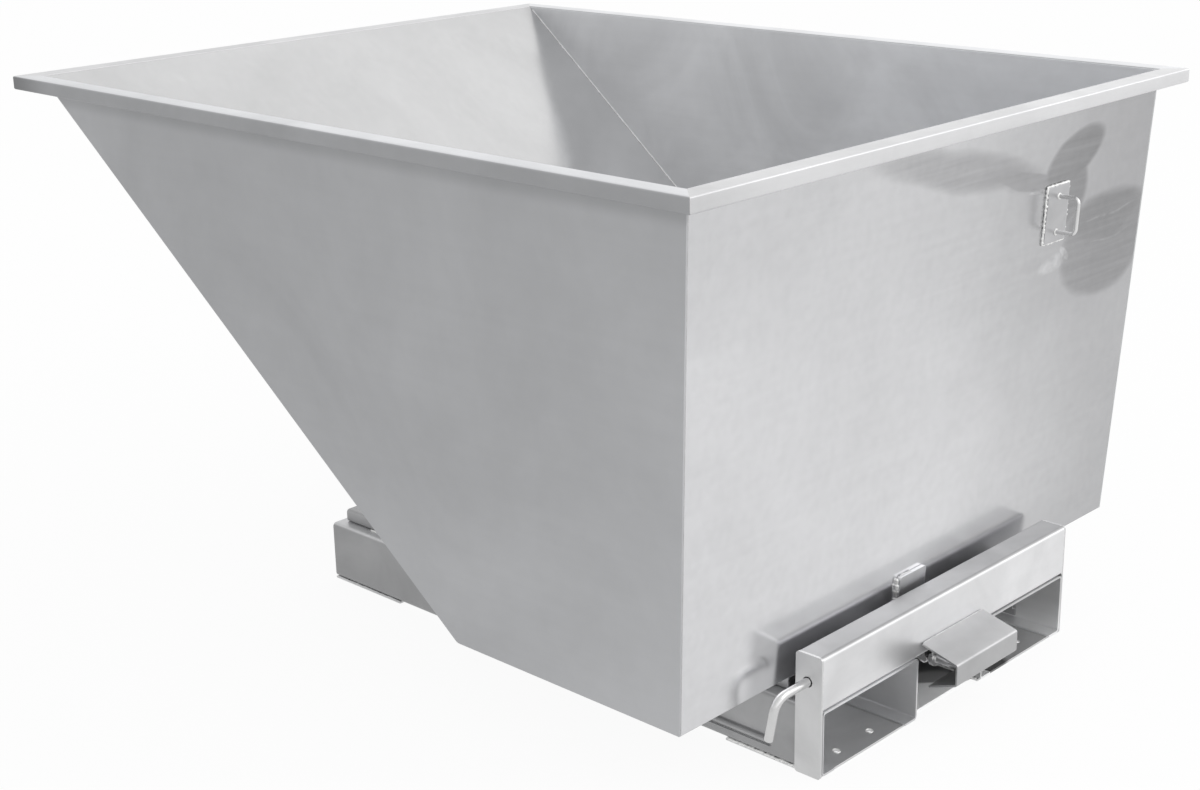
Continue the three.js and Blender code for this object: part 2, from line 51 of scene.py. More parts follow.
# Camera, in the row frame: place in metres, then yaw, pitch and roll in radians
CAMERA_PLACE = (-2.0120, -1.9242, 1.2222)
CAMERA_TURN = (-0.805, -0.319, 0.020)
LENS_MM = 57.65
SENSOR_MM = 36.0

# Edges of the CAD solids get a small round, so that they catch the light
EDGE_ROUND = 0.5 * MM
EDGE_ANGLE = math.radians(32)
# Vertices closer than this are one, and faces that differ by less than this angle are one
SAME_PLACE = 0.002 * MM
SAME_PLANE = math.radians(0.4)
SHEET = 3 * MM


# ---- Places, all read from the CAD nodes ----

def corner(node, *order):
    """Vertex of a CAD node found by limits in turn, such as "-z", "-y", "-x"."""
    points = [v.co for v in NODES[node].data.vertices]
    for rule in order:
        sign = 1 if rule[0] == "+" else -1
        axis = AXES[rule[1]]
        best = max(sign * p[axis] for p in points)
        points = [p for p in points if sign * p[axis] > best - 0.05 * MM]
    return points[0].copy()


def lower_edge(node):
    """Outer lower edge of a side wall, from the rear foot round the bend and up the slope."""
    outermost = {}
    for v in NODES[node].data.vertices:
        key = (round(v.co.y, 5), round(v.co.z, 5))
        if key not in outermost or abs(v.co.x) > abs(outermost[key].x):
            outermost[key] = v.co.copy()
    rear_top = min(outermost.values(), key=lambda p: p.y - p.z)
    return sorted((p for p in outermost.values() if p != rear_top), key=lambda p: p.y)


# ---- Materials ----

class Tree:
    """Short hand for building a node tree."""

    def __init__(self, tree):
        self.tree = tree

    def node(self, kind, **inputs):
        n = self.tree.nodes.new(kind)
        for key, value in inputs.items():
            setattr(n, key, value)
        return n

    def feed(self, socket, value):
        if isinstance(value, bpy.types.NodeSocket):
            self.tree.links.new(value, socket)
        else:
            socket.default_value = value

    def math(self, operation, a, b=0.0, clamp=False):
        n = self.node("ShaderNodeMath", operation=operation, use_clamp=clamp)
        self.feed(n.inputs[0], a)
        self.feed(n.inputs[1], b)
        return n.outputs[0]

    def smooth_maximum(self, a, b, blend):
        n = self.node("ShaderNodeMath", operation="SMOOTH_MAX")
        for i, v in enumerate((a, b, blend)):
            self.feed(n.inputs[i], v)
        return n.outputs[0]

    def mix(self, share, a, b):
        n = self.node("ShaderNodeMix", data_type="FLOAT")
        for i, v in enumerate((share, None, a, b)):
            if v is not None:
                self.feed(n.inputs[i], v)
        return n.outputs[0]

    def span(self, value, low, high, to_low, to_high, smooth=False):
        n = self.node("ShaderNodeMapRange")
        n.interpolation_type = "SMOOTHSTEP" if smooth else "LINEAR"
        for i, v in enumerate((value, low, high, to_low, to_high)):
            self.feed(n.inputs[i], v)
        return n.outputs[0]

    def noise(self, vector, scale, detail=3.0, roughness=0.5, distortion=0.0):
        n = self.node("ShaderNodeTexNoise")
        self.feed(n.inputs["Vector"], vector)
        n.inputs["Scale"].default_value = scale
        n.inputs["Detail"].default_value = detail
        n.inputs["Roughness"].default_value = roughness
        n.inputs["Distortion"].default_value = distortion
        return n.outputs["Fac"]

    def stretched(self, vector, scale, offset=(0, 0, 0)):
        n = self.node("ShaderNodeMapping")
        self.feed(n.inputs["Vector"], vector)
        n.inputs["Scale"].default_value = scale
        n.inputs["Location"].default_value = offset
        return n.outputs[0]

    def bump(self, height, distance, normal=None):
        n = self.node("ShaderNodeBump")
        n.inputs["Distance"].default_value = distance
        self.feed(n.inputs["Height"], height)
        if normal is not None:
            self.feed(n.inputs["Normal"], normal)
        return n.outputs[0]

    def scaled_color(self, color, factor):
        n = self.node("ShaderNodeVectorMath", operation="SCALE")
        n.inputs[0].default_value = color[:3]
        self.feed(n.inputs["Scale"], factor)
        return n.outputs[0]


# Soft dark shapes painted on the outside of the rear wall: painted reflections of the surroundings in the
# bright sheet. Centre x and z, half sizes in metres, tilt in degrees, depth, softness of the edge
PAINTED_DARK_REFLECTIONS = [
    (0.030, 0.722, 0.200, 0.026, -12, 0.34, 0.85),
    (0.175, 0.687, 0.090, 0.014, -9, 0.35, 0.40),
    (0.298, 0.702, 0.077, 0.034, 18, 0.43, 0.28),
    (0.296, 0.655, 0.037, 0.055, 0, 0.40, 0.45),
    (0.415, 0.562, 0.124, 0.077, 4, 0.34, 0.24),
    (0.402, 0.600, 0.108, 0.037, 3, 0.40, 0.45),
    (0.215, 0.562, 0.032, 0.014, 0, 0.12, 0.50),
    (0.130, 0.600, 0.260, 0.130, -20, 0.10, 0.85),
]
# Small bright painted reflections among them, laid out in the same way
PAINTED_BRIGHT_REFLECTIONS = [
    (0.270, 0.552, 0.036, 0.012, 8, 0.22, 0.60),
    (0.302, 0.563, 0.015, 0.006, -35, 0.30, 0.50),
    (0.410, 0.602, 0.075, 0.0022, 4, 0.16, 0.60),
    (0.420, 0.567, 0.055, 0.0016, 3, 0.12, 0.60),
    (0.205, 0.666, 0.014, 0.0022, -6, 0.40, 0.60),
]
# How softly neighbouring ellipses run into each other
ELLIPSE_BLEND = 0.08
# Middle part of a noise texture's range, which is spread over the wanted values
NOISE = (0.3, 0.7)


def ellipses(t, x, z, shapes):
    """Largest depth of a list of soft-edged ellipses at a place on a sheet."""
    total = None
    for centre_x, centre_z, half_x, half_z, tilt, depth, soft in shapes:
        c, s = math.cos(math.radians(tilt)), math.sin(math.radians(tilt))
        dx = t.math("SUBTRACT", x, centre_x)
        dz = t.math("SUBTRACT", z, centre_z)
        u = t.math("ADD", t.math("MULTIPLY", dx, c / half_x), t.math("MULTIPLY", dz, s / half_x))
        v = t.math("ADD", t.math("MULTIPLY", dx, -s / half_z), t.math("MULTIPLY", dz, c / half_z))
        far = t.math("ADD", t.math("MULTIPLY", u, u), t.math("MULTIPLY", v, v))
        shape = t.span(far, 1 - soft, 1 + soft, depth, 0.0, smooth=True)
        total = shape if total is None else t.smooth_maximum(total, shape, ELLIPSE_BLEND)
    return total


def painted_reflection_factor(t, place):
    """Factor on the tone for the painted reflections above, with edges bent by noise, on the outer face
    only.
    """
    split = t.node("ShaderNodeSeparateXYZ")
    t.feed(split.inputs[0], place)
    bend_x = t.noise(place, 7.0, 1.0, 0.3, 0.4)
    bend_z = t.noise(t.stretched(place, (1, 1, 1), (3, 1, 2)), 9.0, 1.0, 0.3, 0.4)
    x = t.math("ADD", split.outputs[0], t.span(bend_x, *NOISE, -7 * MM, 7 * MM))
    z = t.math("ADD", split.outputs[2], t.span(bend_z, *NOISE, -5 * MM, 5 * MM))
    streak = t.noise(t.stretched(place, (5, 5, 130)), 1.0, 2.0)
    dark = t.math("MULTIPLY", ellipses(t, x, z, PAINTED_DARK_REFLECTIONS), t.span(streak, 0.35, 0.75, 1.05, 0.80))
    patchy = t.noise(place, 70.0, 2.0)
    light = t.math("MULTIPLY", ellipses(t, x, z, PAINTED_BRIGHT_REFLECTIONS), t.span(patchy, 0.35, 0.60, 0.2, 1.0))
    facing = t.node("ShaderNodeSeparateXYZ")
    t.feed(facing.inputs[0], t.node("ShaderNodeTexCoord").outputs["Normal"])
    outside = t.span(facing.outputs[1], -0.6, -0.2, 1.0, 0.0)
    return t.math("ADD", 1.0, t.math("MULTIPLY", t.math("SUBTRACT", light, dark), outside))


# The slope looks darker up to a line rising from the right wall: wall's x, wall's top, rise per run
MIRRORED_WALL = (0.50, 0.79, 1.19)
MIRRORED_TONE = 0.84
MIRRORED_WANDER = 14 * MM
MIRRORED_EDGE = (-10 * MM, 26 * MM)


def mirrored_wall(t, split, place):
    """Factor for the darker tone on the slope where it would mirror the right wall, with a soft edge."""
    wall_x, wall_top, rise = MIRRORED_WALL
    run = t.math("SUBTRACT", wall_x, split.outputs[0])
    height = t.math("ADD", t.math("MULTIPLY", run, rise), split.outputs[2])
    wander = t.span(t.noise(place, 6.0, 1.0), *NOISE, -MIRRORED_WANDER, MIRRORED_WANDER)
    above = t.math("ADD", t.math("SUBTRACT", height, wall_top), wander)
    return t.span(above, *MIRRORED_EDGE, MIRRORED_TONE, 1.0, smooth=True)


# Finish of the sheet that all steels share: how much each pattern changes the tone or the roughness
MOTTLE = 0.015
STREAKS = 0.010
ROUGH_CLOUDS = 0.045
ROUGH_STREAKS = 0.012
ROUGH_SCRATCH = 0.018
FINE_WAVE = 0.010 * MM
# Factor on the tone where a pool of light is painted on a plate
PAINTED_LIGHT_PALE = 1.42


def steel(name, tone, rough, cloud=0.08, cloud_scale=3.0, grain="x",
          wave=1.2, offset=(0, 0, 0), shapes=False, fades=(), metal=1.0,
          painted_top_light=None, only=None, mirror=False, shade=None, dull=None, painted_shade_patch=None):
    """Stainless: cloudy tone, brushed grain along an axis, slow waves in the sheet, rougher scratches.
    wave is the height of the waves in millimetres; shapes adds the painted reflections of the rear wall.
    fades are slow changes of tone, painted light and shade: axis, start, end, factor at start, factor at
    end.
    lift, if given, is the factor on faces that look up, instead of the fades: painted light or shade on the
    tops.
    only, if given, is the sign of the faces' x that the fades apply to.
    shade, if given, darkens cheeks that face a plane of constant x: its place and the factor.
    dull, if given, lists ellipses in x and y where a pool of light is painted: the plate is paler there and
    hardly mirrors.
    grime, if given, lists ellipses in x and y where the shade under the hood is painted dark."""
    material = bpy.data.materials.new(name)
    material.use_nodes = True
    t = Tree(material.node_tree)
    shader = material.node_tree.nodes["Principled BSDF"]
    place = t.node("ShaderNodeTexCoord").outputs["Object"]
    moved = t.stretched(place, (1, 1, 1), offset)

    clouds = t.noise(moved, cloud_scale, 4.0, 0.55, 0.7)
    mottle = t.noise(moved, 26.0, 4.0, 0.6, 0.3)
    along = {"x": (3, 90, 90), "y": (90, 3, 90), "z": (90, 90, 3)}[grain]
    streaks = t.noise(t.stretched(moved, along), 1.0, 2.0, 0.5)
    scratches = t.noise(t.stretched(moved, (14, 60, 60)), 1.0, 2.0, 0.5, 0.8)

    factor = t.span(clouds, *NOISE, 1 - cloud, 1 + cloud)
    factor = t.math("MULTIPLY", factor, t.span(mottle, *NOISE, 1 - MOTTLE, 1 + MOTTLE))
    factor = t.math("MULTIPLY", factor, t.span(streaks, *NOISE, 1 - STREAKS, 1 + STREAKS))
    if shapes:
        factor = t.math("MULTIPLY", factor, painted_reflection_factor(t, place))
    split = t.node("ShaderNodeSeparateXYZ")
    t.feed(split.inputs[0], place)
    fade = 1.0
    for axis, start, end, at_start, at_end in fades:
        step = t.span(split.outputs[AXES[axis]], start, end, at_start, at_end, smooth=True)
        fade = t.math("MULTIPLY", fade, step)
    facing = t.node("ShaderNodeSeparateXYZ")
    t.feed(facing.inputs[0], t.node("ShaderNodeTexCoord").outputs["Normal"])
    if only is not None:
        fade = t.mix(t.span(facing.outputs[0], 0.2 * only, 0.6 * only, 0.0, 1.0), 1.0, fade)
    if painted_top_light is not None:
        fade = t.mix(t.span(facing.outputs[2], 0.45, 0.85, 0.0, 1.0, smooth=True), fade, painted_top_light)
    factor = t.math("MULTIPLY", factor, fade)
    if mirror:
        factor = t.math("MULTIPLY", factor, mirrored_wall(t, split, place))
    if shade is not None:
        inward = t.math("MULTIPLY", t.math("SUBTRACT", split.outputs[0], shade[0]), facing.outputs[0])
        factor = t.math("MULTIPLY", factor, t.span(inward, -0.03, -0.01, shade[1], 1.0))
    shader.inputs["Metallic"].default_value = metal
    if dull is not None:
        painted_light_share = ellipses(t, split.outputs[0], split.outputs[1], dull)
        factor = t.math("MULTIPLY", factor, t.span(painted_light_share, 0.0, 1.0, 1.0, PAINTED_LIGHT_PALE))
        t.feed(shader.inputs["Metallic"], t.span(painted_light_share, 0.0, 1.0, metal, 0.0))
    if painted_shade_patch is not None:
        painted_shade_depth = ellipses(t, split.outputs[0], split.outputs[1], painted_shade_patch)
        factor = t.math("MULTIPLY", factor, t.math("SUBTRACT", 1.0, painted_shade_depth))
    t.feed(shader.inputs["Base Color"], t.scaled_color(tone, factor))

    roughness = t.math("ADD", rough, t.span(clouds, *NOISE, ROUGH_CLOUDS, -ROUGH_CLOUDS))
    roughness = t.math("ADD", roughness, t.span(streaks, *NOISE, -ROUGH_STREAKS, ROUGH_STREAKS))
    scratched = t.span(scratches, 0.60, 0.76, 0.0, ROUGH_SCRATCH)
    t.feed(shader.inputs["Roughness"], t.math("ADD", roughness, scratched, clamp=True))

    sheet_wave = t.noise(moved, 3.4, 2.0, 0.4)
    normal = t.bump(sheet_wave, wave * MM)
    normal = t.bump(t.noise(moved, 24.0, 1.0), FINE_WAVE, normal)
    t.feed(shader.inputs["Normal"], normal)
    return material


def weld_metal(name, tone, metal):
    """Finely pitted weld."""
    material = bpy.data.materials.new(name)
    material.use_nodes = True
    t = Tree(material.node_tree)
    shader = material.node_tree.nodes["Principled BSDF"]
    place = t.node("ShaderNodeTexCoord").outputs["Object"]
    pits = t.noise(place, 600.0, 3.0, 0.6)
    patchy = t.span(t.noise(place, 60.0, 3.0, 0.6), *NOISE, 0.82, 1.06)
    t.feed(shader.inputs["Base Color"], t.scaled_color(tone, patchy))
    shader.inputs["Metallic"].default_value = metal
    t.feed(shader.inputs["Roughness"], t.span(pits, *NOISE, 0.24, 0.42))
    t.feed(shader.inputs["Normal"], t.bump(pits, 0.12 * MM))
    return material


# The side, rear and slope sheets, the two pockets, the hood and the rims are one stainless, each given a
# lighter or darker tone as it is lit: painted light
SIDE_TONE = (0.535, 0.541, 0.554)
REAR_TONE = (0.750, 0.751, 0.765)
SLOPE_TONE = (0.645, 0.646, 0.650)
FOLD_TONE = (0.42, 0.422, 0.428)
PLATE_TONE = (0.66, 0.662, 0.666)
POCKET_TONE = (0.72, 0.722, 0.726)
HOOD_TONE = (0.49, 0.491, 0.496)
HOOD_MIDDLE = sum(v.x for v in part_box("latch_hood")) / 2


def two_faced(node, at_left, at_right):
    """Fade between the two faces of a pocket's left wall, inside the sheet's thickness."""
    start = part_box(node)[0].x
    return ("x", start + 0.5 * MM, start + 2.5 * MM, at_left, at_right)


# Painted shade: the right pocket dark on its face towards the gap between the pockets, under the hood;
# painted light: the left one darker outside than inside
POCKET_GAP_SHADE = two_faced("fork_pocket_right", 0.30, 1.0)
POCKET_LIT_INSIDE = two_faced("fork_pocket_left", 0.88, 1.66)
# Painted light: the right pocket lighter low down, the left one lighter towards the top
POCKET_LIT_FOOT = ("z", 6 * MM, 60 * MM, 1.25, 0.85)
POCKET_LIT_TOP = ("z", 10 * MM, 85 * MM, 0.94, 1.05)
PAD_TONE = (0.66, 0.661, 0.672)
TUBE_TONE = (0.79, 0.791, 0.800)
BAR_TONE = (0.76, 0.76, 0.76)
MATERIALS = {
    # Painted light on the left wall: a little lighter towards the rear, darker along the top strip at the
    # rim
    "side": steel("steel_side_sheet", SIDE_TONE, 0.40, cloud=0.06, cloud_scale=2.6, grain="y",
                  offset=(2, 0, 5), fades=[("y", -0.62, -0.25, 1.05, 1.0), ("z", 0.742, 0.762, 1.0, 0.84)]),
    # Painted light on the right wall: its inner face far lighter than its outer face, a little less so
    # towards the front
    "side_right": steel("steel_right_sheet", SIDE_TONE, 0.38, cloud=0.13, cloud_scale=4.2, grain="y",
                        offset=(6, 1, 5), fades=[("y", -0.62, 0.35, 1.66, 1.50)], only=-1),
    # Painted light on the rear wall: darker to the right and towards the top, besides the painted
    # reflections
    "rear": steel("steel_rear_sheet", REAR_TONE, 0.20, cloud=0.06, cloud_scale=2.2, grain="x", wave=1.6,
                  offset=(0, 4, 1), shapes=True,
                  fades=[("x", -0.05, 0.50, 1.0, 0.66), ("z", 0.15, 0.75, 1.08, 0.92)]),
    "slope": steel("steel_slope_sheet", SLOPE_TONE, 0.20, cloud=0.06, cloud_scale=2.4, grain="y", wave=1.0,
                   offset=(1, 7, 3), mirror=True),
    "fold": steel("steel_folded_sheet", FOLD_TONE, 0.36, cloud=0.10, cloud_scale=7.0, grain="y", wave=0.5,
                  offset=(5, 2, 8), metal=0.80),
    "pocket_left": steel("steel_left_pocket", FOLD_TONE, 0.36, cloud=0.10, cloud_scale=7.0, grain="y",
                         wave=0.5, offset=(5, 2, 8), metal=0.70, fades=[POCKET_LIT_INSIDE, POCKET_LIT_TOP]),
    "pocket_right": steel("steel_right_pocket", POCKET_TONE, 0.36, cloud=0.10, cloud_scale=7.0, grain="y",
                          wave=0.5, offset=(1, 2, 8), metal=0.70, fades=[POCKET_GAP_SHADE, POCKET_LIT_FOOT]),
    # Painted light and shade on the hood: faces that look up a little lighter, the cheeks inside it very
    # dark
    "hood": steel("steel_hood", HOOD_TONE, 0.34, cloud=0.08, cloud_scale=9.0, grain="x", wave=0.3,
                  offset=(2, 3, 2), metal=0.95, painted_top_light=1.10, shade=(HOOD_MIDDLE, 0.10)),
    "plate": steel("steel_flat_plate", PLATE_TONE, 0.36, cloud=0.08, cloud_scale=9.0, grain="x", wave=0.3,
                   offset=(9, 3, 2), metal=0.80),
    # Painted light and shade on the tie plate: a pale, matte pool of light in the middle bay, and a dark
    # patch of painted shade under the hood
    "tie": steel("steel_tie_plate", PLATE_TONE, 0.36, cloud=0.08, cloud_scale=9.0, grain="x", wave=0.3,
                 offset=(9, 3, 2), metal=0.80, dull=[(0.0, -0.600, 0.074, 0.050, 0, 1.0, 0.25)],
                 painted_shade_patch=[(0.068, -0.568, 0.105, 0.042, -36, 0.72, 0.14)]),
    # Painted light on the handle pad and the catch plate: darker to the right, as on the rear wall
    "pad": steel("steel_pad_plate", PAD_TONE, 0.33, cloud=0.10, cloud_scale=16.0, grain="z", wave=0.3,
                 offset=(3, 3, 2), fades=[("x", -0.05, 0.35, 1.0, 0.78)]),
    # Painted shade on the tube and the crossbar: faces that look up are darker than the rest
    "tube": steel("steel_ground_tube", TUBE_TONE, 0.38, cloud=0.06, cloud_scale=8.0, grain="x", wave=0.3,
                  offset=(4, 6, 6), metal=0.85, painted_top_light=0.53),
    "crossbar": steel("steel_crossbar", TUBE_TONE, 0.36, cloud=0.10, cloud_scale=7.0, grain="x", wave=0.5,
                      offset=(3, 6, 2), metal=0.85, painted_top_light=0.52),
    # Painted light on the rims: the rear and front rims' tops a little darker and their left ends darker;
    # the side rims' tops much lighter and their sides darker towards the far end
    "rim_rear": steel("steel_rear_rim", TUBE_TONE, 0.36, cloud=0.05, cloud_scale=8.0, grain="x", wave=0.3,
                      offset=(4, 2, 6), metal=0.9, painted_top_light=0.86,
                      fades=[("x", -0.54, -0.34, 0.80, 0.90)]),
    "rim_side": steel("steel_side_rim", SIDE_TONE, 0.36, cloud=0.05, cloud_scale=8.0, grain="y",
                      wave=0.3, offset=(7, 1, 4), metal=0.95, painted_top_light=1.42,
                      fades=[("y", 0.58, 0.70, 0.84, 0.50)]),
    "bar": steel("steel_drawn_bar", BAR_TONE, 0.20, cloud=0.05, cloud_scale=14.0, grain="x", wave=0.05),
}
# One weld in three tones: weld_bright is nearly white and partly diffuse, a painted highlight that stays
# bright from every side; weld_dull and weld_seam are darker copies where a bead should look less bright
WELD = weld_metal("weld_bright", (0.94, 0.94, 0.93), 0.6)
DULL_WELD = weld_metal("weld_dull", (0.60, 0.60, 0.605), 0.95)
SEAM_WELD = weld_metal("weld_seam", (0.86, 0.86, 0.865), 0.9)
LOOK_OF = {
    "side_wall_left": "side",
    "side_wall_right": "side_right",
    "rear_wall": "rear",
    "bottom_sheet": "slope",
    "rim_side_left": "rim_side",
    "rim_side_right": "rim_side",
    "rim_rear": "rim_rear",
    "crossbar": "crossbar",
    "rim_front": "rim_rear",
    "rear_tie_plate": "tie",
    "front_tie_plate": "plate",
    "handle_pad": "pad",
    "catch_plate": "pad",
    "latch_hood": "hood",
    "fork_pocket_left": "pocket_left",
    "fork_pocket_right": "pocket_right",
    "end_plate_left": "plate",
    "end_plate_right": "plate",
}
SLOT_LOOK = {"sheet": "fold", "tube": "tube", "bar": "bar"}


def dress(node):
    """Gives a CAD node its material, rounded edges and clean shading; its vertices stay where they are."""
    obj = NODES[node]
    mesh = obj.data
    mesh.materials.clear()
    mesh.materials.append(MATERIALS[LOOK_OF.get(node, SLOT_LOOK[SLOT_OF[node]])])
    if "custom_normal" in mesh.attributes:
        mesh.attributes.remove(mesh.attributes["custom_normal"])
    mesh.polygons.foreach_set("use_smooth", [True] * len(mesh.polygons))
    merge = obj.modifiers.new("merge", "WELD")
    merge.merge_threshold = SAME_PLACE
    flat = obj.modifiers.new("flat", "DECIMATE")
    flat.decimate_type = "DISSOLVE"
    flat.angle_limit = SAME_PLANE
    bevel = obj.modifiers.new("round", "BEVEL")
    bevel.width = EDGE_ROUND
    bevel.segments = 2
    bevel.limit_method = "ANGLE"
    bevel.angle_limit = EDGE_ANGLE
    bevel.use_clamp_overlap = True
    bevel.harden_normals = True


for node_name in NODES:
    dress(node_name)


# ---- Weld beads ----

def resampled(points, step):
    """Points along a polyline at even steps, with the distance run so far."""
    out = []
    run = 0.0
    for a, b in zip(points, points[1:]):
        length = (b - a).length
        count = max(1, round(length / step))
        for k in range(count):
            out.append((a.lerp(b, k / count), run + length * k / count))
        run += length
    out.append((points[-1].copy(), run))
    return out


BEAD_SIDES = 7
RINGS_PER_RIPPLE = 4
# Share of a bead's radius between two ripples, and at the first rings from an open end
RIPPLE_WAIST = 0.80
BEAD_END = (0.45, 0.75, 0.92)


def bead(points, radius, pitch=3.4 * MM, rough=0.10, closed=False):
    """Vertices and faces of one bead: overlapping ripples with small random swells."""
    path = resampled(points + ([points[0]] if closed else []), pitch / RINGS_PER_RIPPLE)
    if closed:
        path = path[:-1]
    count = len(path)
    swell = [1 + random.uniform(-rough, rough) for _ in range(count // RINGS_PER_RIPPLE + 2)]
    drift = [random.uniform(-rough, rough) * radius for _ in range(len(swell))]
    rings = []
    side_axis = None
    for i, (p, run) in enumerate(path):
        before = path[i - 1][0] if i or closed else p
        after = path[(i + 1) % count][0] if i + 1 < count or closed else p
        tangent = (after - before).normalized()
        if side_axis is None:
            side_axis = tangent.orthogonal().normalized()
        side_axis = (side_axis - tangent * side_axis.dot(tangent)).normalized()
        up_axis = tangent.cross(side_axis)
        ripple, phase = divmod(run / pitch, 1.0)
        ripple = min(int(ripple), len(swell) - 1)
        hump = math.sqrt(max(0.0, 1 - (2 * phase - 1) ** 2))
        r = radius * swell[ripple] * (RIPPLE_WAIST + (1 - RIPPLE_WAIST) * hump)
        end = min(i, count - 1 - i)
        if not closed and end < len(BEAD_END):
            r *= BEAD_END[end]
        centre = p + side_axis * drift[ripple]
        rings.append([centre + (side_axis * math.cos(a) + up_axis * math.sin(a)) * r
                      for a in (2 * math.pi * k / BEAD_SIDES for k in range(BEAD_SIDES))])
    vertices = [v for ring in rings for v in ring]
    faces = []
    for i in range(count if closed else count - 1):
        j = (i + 1) % count
        for k in range(BEAD_SIDES):
            n = (k + 1) % BEAD_SIDES
            here, there = i * BEAD_SIDES, j * BEAD_SIDES
            faces.append((here + k, here + n, there + n, there + k))
    if not closed:
        faces.append(tuple(reversed(range(BEAD_SIDES))))
        faces.append(tuple((count - 1) * BEAD_SIDES + k for k in range(BEAD_SIDES)))
    return vertices, faces


def make_piece(name, parts, body, material):
    """One mesh object out of several vertex and face lists, riding on a body."""
    vertices, faces = [], []
    for part_vertices, part_faces in parts:
        start = len(vertices)
        vertices += part_vertices
        faces += [tuple(start + i for i in f) for f in part_faces]
    mesh = bpy.data.meshes.new(name)
    mesh.from_pydata([tuple(v) for v in vertices], [], faces)
    mesh.update()
    mesh.polygons.foreach_set("use_smooth", [True] * len(mesh.polygons))
    mesh.materials.append(material)
    obj = bpy.data.objects.new(name, mesh)
    bpy.context.scene.collection.objects.link(obj)
    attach(obj, body)
    return obj


def stitches(a, b, radius, length, spacing):
    """Short beads at even places along a line."""
    total = (b - a).length
    count = max(1, int(total / spacing))
    out = []
    for k in range(count):
        middle = (k + 0.5) / count
        half = length / 2 / total * random.uniform(0.85, 1.15)
        out.append(bead([a.lerp(b, middle - half), a.lerp(b, middle + half)], radius))
    return out


def shifted(points, offset):
    return [p + Vector(offset) for p in points]


def ring(x, y, z, radius, step, flat):
    """Points round a circle that lies flat or stands upright, one every step degrees."""
    turns = [math.radians(d) for d in range(0, 360, step)]
    if flat:
        return [Vector((x + radius * math.cos(a), y + radius * math.sin(a), z)) for a in turns]
    return [Vector((x + radius * math.cos(a), y, z + radius * math.sin(a))) for a in turns]


# Radii of the beads, and how far a tie plate's bead stands from the pocket's wall
CORNER_BEAD = 1.2 * MM
SEAM_BEAD = 1.1 * MM
FILLET_BEAD = 2.2 * MM
TIE_BEAD = 2.0 * MM
FRONT_TIE_BEAD = 1.6 * MM
TIE_OFFSET = 1.6 * MM
# Stitches: length and spacing
RIM_STITCH = (32 * MM, 160 * MM)
REAR_STITCH = (32 * MM, 165 * MM)
RAIL_STITCH = (26 * MM, 120 * MM)
BAR_STITCH = (30 * MM, 80 * MM)
RIM_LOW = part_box("rim_rear")[0].z


def bin_welds():
    """Corner welds of the bin, outside and inside, and the rim's stitches."""
    outside, inside, rim = [], [], []
    for side, sign in (("left", -1), ("right", 1)):
        node = f"side_wall_{side}"
        x_out = "-x" if sign < 0 else "+x"
        foot = corner(node, "-z", "-y", x_out)
        top = corner(node, "+z", "-y", x_out)
        up = (top - foot) / (top.z - foot.z)
        under_rim = foot + up * (RIM_LOW - foot.z - 1 * MM)
        inward = Vector((-sign * SHEET * 0.9, 0.9 * MM, 0))
        outside.append(bead(shifted([foot + up * 2 * MM, under_rim], inward), CORNER_BEAD, rough=0.07))
        edge = lower_edge(node)
        lifted = [p + Vector((-sign * SHEET, 0, 1.0 * MM)) for p in edge]
        lifted[-1] = lifted[-2].lerp(lifted[-1], 0.965)
        outside.append(bead(lifted, CORNER_BEAD, rough=0.08))

        raised = []
        for i, p in enumerate(edge):
            ahead = edge[min(i + 1, len(edge) - 1)] - edge[max(i - 1, 0)]
            normal = Vector((0, -ahead.z, ahead.y)).normalized()
            raised.append(p + normal * (SHEET + 0.6 * MM) + Vector((-sign * (SHEET + 0.6 * MM), 0, 0)))
        raised[0].y += SHEET + 1 * MM
        raised[-1] = raised[-2].lerp(raised[-1], 0.99)
        inside.append(bead(raised, SEAM_BEAD, pitch=4.5 * MM, rough=0.14))
        rear_seam = Vector((-sign * (SHEET + 0.8 * MM), SHEET + 0.8 * MM, 0))
        upright = shifted([foot + up * 4 * MM, top - up * 2 * MM], rear_seam)
        inside.append(bead(upright, SEAM_BEAD, rough=0.12))

        slope_top = corner(node, "+z", "+y", x_out)
        low = (RIM_LOW - top.z) * up
        start = top + low + Vector((sign * 0.5 * MM, 30 * MM, 0))
        end = slope_top + low + Vector((sign * 0.5 * MM, -60 * MM, 0))
        rim += stitches(start, end, FILLET_BEAD, *RIM_STITCH)
    rear_left = corner("rear_wall", "+z", "-y", "-x")
    rear_right = corner("rear_wall", "+z", "-y", "+x")
    rear_foot = corner("rear_wall", "-z", "-y")
    lean = (rear_foot.y - rear_left.y) / (rear_left.z - rear_foot.z)
    drop = Vector((0, lean * (rear_left.z - RIM_LOW) - 0.5 * MM, RIM_LOW - rear_left.z))
    rim += stitches(rear_left + drop, rear_right + drop, FILLET_BEAD, *REAR_STITCH)
    floor_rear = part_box("bottom_sheet")[0]
    y = corner("rear_wall", "-z", "+y").y + 0.8 * MM
    z = floor_rear.z + SHEET + 0.6 * MM
    half = corner("bottom_sheet", "-z", "+x").x - 6 * MM
    inside.append(bead([Vector((-half, y, z)), Vector((half, y, z))], SEAM_BEAD, rough=0.12))
    under_y = corner("rear_wall", "-z", "-y").y + SHEET
    under_z = floor_rear.z + 0.9 * MM
    outside.append(bead([Vector((-half, under_y, under_z)), Vector((half, under_y, under_z))], CORNER_BEAD))
    make_piece("weld_bin_corners", outside, "bin", DULL_WELD)
    make_piece("weld_bin_seams", inside, "bin", SEAM_WELD)
    make_piece("weld_rim_stitches", rim, "bin", WELD)


